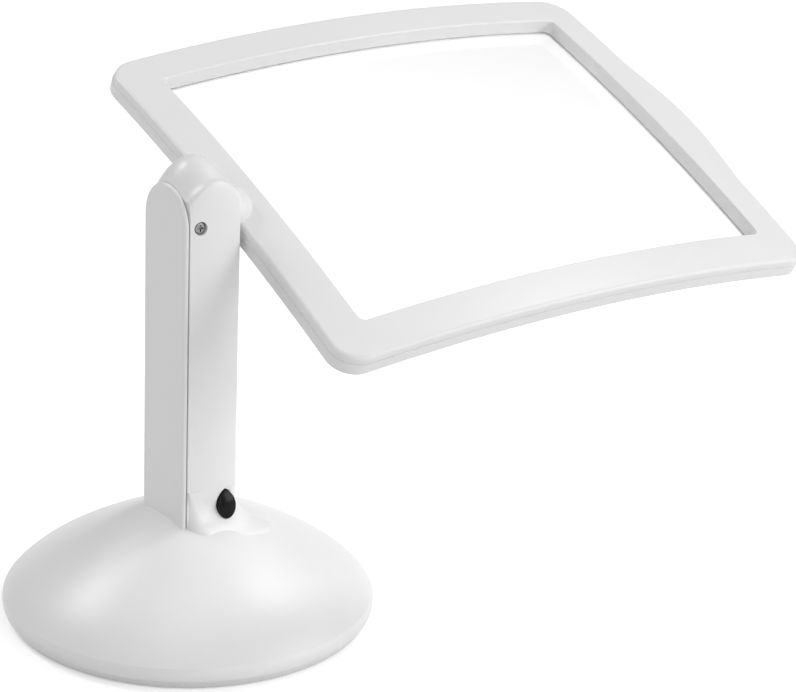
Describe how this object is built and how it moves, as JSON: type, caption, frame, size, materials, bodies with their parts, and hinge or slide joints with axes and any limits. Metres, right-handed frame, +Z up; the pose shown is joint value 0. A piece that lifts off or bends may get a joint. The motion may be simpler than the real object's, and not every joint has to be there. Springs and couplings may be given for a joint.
{
  "type": "page magnifier",
  "caption": "Hands-free page magnifier: a bowed clear lens sheet in a rectangular frame that tilts on an upright pillar above a weighted round base.",
  "frame": {"origin": "middle of the round base, on the surface that it stands on", "axes": "+Z up; +X from the pillar to the lens frame, along the tilt axis; -Y towards the reader"},
  "size_m": [0.3366, 0.1784, 0.2105],
  "materials": {
    "white_shell": "satin moulded plastic",
    "grey_plastic": "plain moulded plastic",
    "black_gloss": "polished",
    "clear_sheet": "clear acrylic",
    "screw_steel": "dark zinc",
    "spring_steel": "bright plated strip",
    "ballast": "black-grey paint",
    "soft_rubber": "matt",
    "washer_plastic": "smooth natural nylon",
    "cell_jacket": "plain sleeve",
    "circuit_board": "lacquered board",
    "led_body": "phosphor lens",
    "lead_jacket": "insulation"
  },
  "bodies": {
    "stand": {"base_shell": "white_shell", "base_plate": "grey_plastic", "foot_ring": "soft_rubber", "base_screws": "screw_steel", "base_weight": "ballast", "weight_screws": "screw_steel", "battery_case": "grey_plastic", "batteries": "cell_jacket", "battery_contacts_rear": "spring_steel", "battery_contacts_front": "spring_steel", "pillar_shell": "white_shell", "pillar_cover": "white_shell", "cover_screws": "screw_steel", "pillar_screws": "screw_steel", "pivot_block": "grey_plastic", "block_screws": "screw_steel", "friction_washer": "washer_plastic", "flat_washer": "screw_steel", "spring_washer": "spring_steel", "light_window": "clear_sheet", "light_board": "circuit_board", "light_leds": "led_body", "board_screws": "screw_steel", "switch_body": "grey_plastic", "switch_board": "circuit_board", "supply_wires": "lead_jacket", "light_wires": "lead_jacket"},
    "head": {"frame_top": "white_shell", "frame_bottom": "white_shell", "lens_sheet": "clear_sheet", "hinge_hub": "white_shell", "frame_screws": "screw_steel", "pivot_pin": "screw_steel", "pin_nut": "screw_steel"},
    "button": {"power_button": "black_gloss", "switch_plunger": "grey_plastic"},
    "battery_door": {"battery_door": "grey_plastic"}
  },
  "joints": [
    {"name": "head_tilt", "type": "hinge", "parent": "stand", "child": "head", "pos_m": [0, 0, 0.167], "axis": [1, 0, 0], "continuous": true},
    {"name": "button_press", "type": "slide", "parent": "stand", "child": "button", "axis": [0, 1, 0], "range_m": [0, 0.0012], "stiffness_N_per_m": 400},
    {"name": "battery_door_slide", "type": "slide", "parent": "stand", "child": "battery_door", "axis": [0, 1, 0], "range_m": [0, 0.006]}
  ]
}
